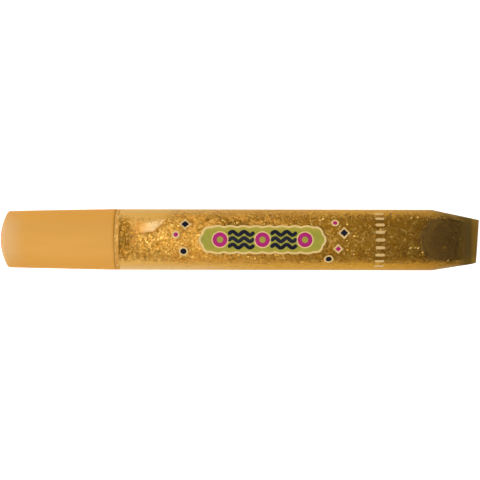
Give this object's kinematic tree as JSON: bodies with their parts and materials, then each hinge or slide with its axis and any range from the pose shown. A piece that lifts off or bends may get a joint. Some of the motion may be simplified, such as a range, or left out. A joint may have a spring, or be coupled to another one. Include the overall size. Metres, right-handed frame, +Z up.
{
  "type": "glitter glue tube",
  "caption": "Clear round squeeze tube of gold glitter glue with a pressed, heat-sealed tail, a push-in nozzle and a smooth tapered push-on cap.",
  "frame": {"origin": "on the resting plane, under the middle of the capped tube's length", "axes": "+X along the tube from the cap towards the sealed tail, +Z up through the printed side, +Y across the tube"},
  "size_m": [0.1172, 0.015, 0.015],
  "materials": {
    "tube_clear": "clear, glossy, faintly warm",
    "nozzle_plastic": "natural translucent plastic, satin",
    "glitter_gel": "clear gel full of gold glitter flakes",
    "cap_plastic": "smooth satin gold-yellow plastic"
  },
  "bodies": {
    "tube": {"tube_shell": "tube_clear", "nozzle": "nozzle_plastic", "glitter_gel": "glitter_gel"},
    "cap": {"cap": "cap_plastic"}
  },
  "joints": [
    {"name": "cap_pull", "type": "slide", "parent": "tube", "child": "cap", "axis": [-1, 0, 0], "range_m": [0, 0.034]}
  ]
}
